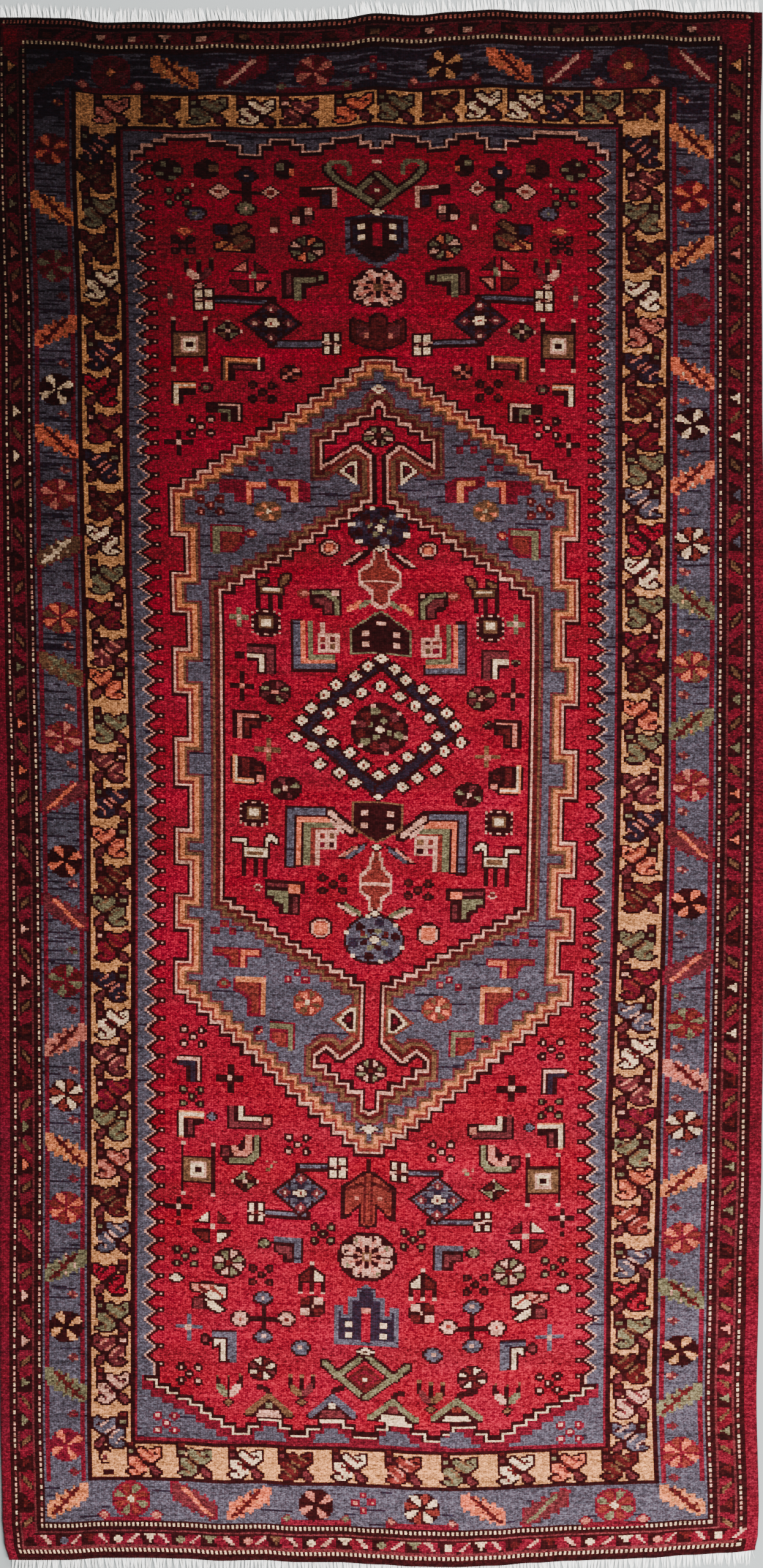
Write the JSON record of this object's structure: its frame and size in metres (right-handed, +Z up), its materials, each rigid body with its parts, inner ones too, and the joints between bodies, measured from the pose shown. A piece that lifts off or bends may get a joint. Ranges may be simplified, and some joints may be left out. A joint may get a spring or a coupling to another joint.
{
  "type": "knotted village rug with fringed ends",
  "caption": "Hand-knotted wool village rug lying flat, a long rectangle with uneven edges and a short cotton fringe along each end.",
  "frame": {"origin": "on the floor, under the middle of the whole rug's box", "axes": "+X across the rug, +Y along it towards the head end (the top of the picture), +Z up from the floor through the pile"},
  "size_m": [1.0808, 2.2056, 0.0097],
  "materials": {
    "wool_pile": "short knotted wool pile in red, slate blue, camel and dark brown, matt with a soft sheen",
    "cotton_warp": "undyed cotton warp ends, cut short and matt"
  },
  "bodies": {
    "root": {"knotted_sheet": "wool_pile", "head_fringe": "cotton_warp", "foot_fringe": "cotton_warp"}
  },
  "joints": []
}
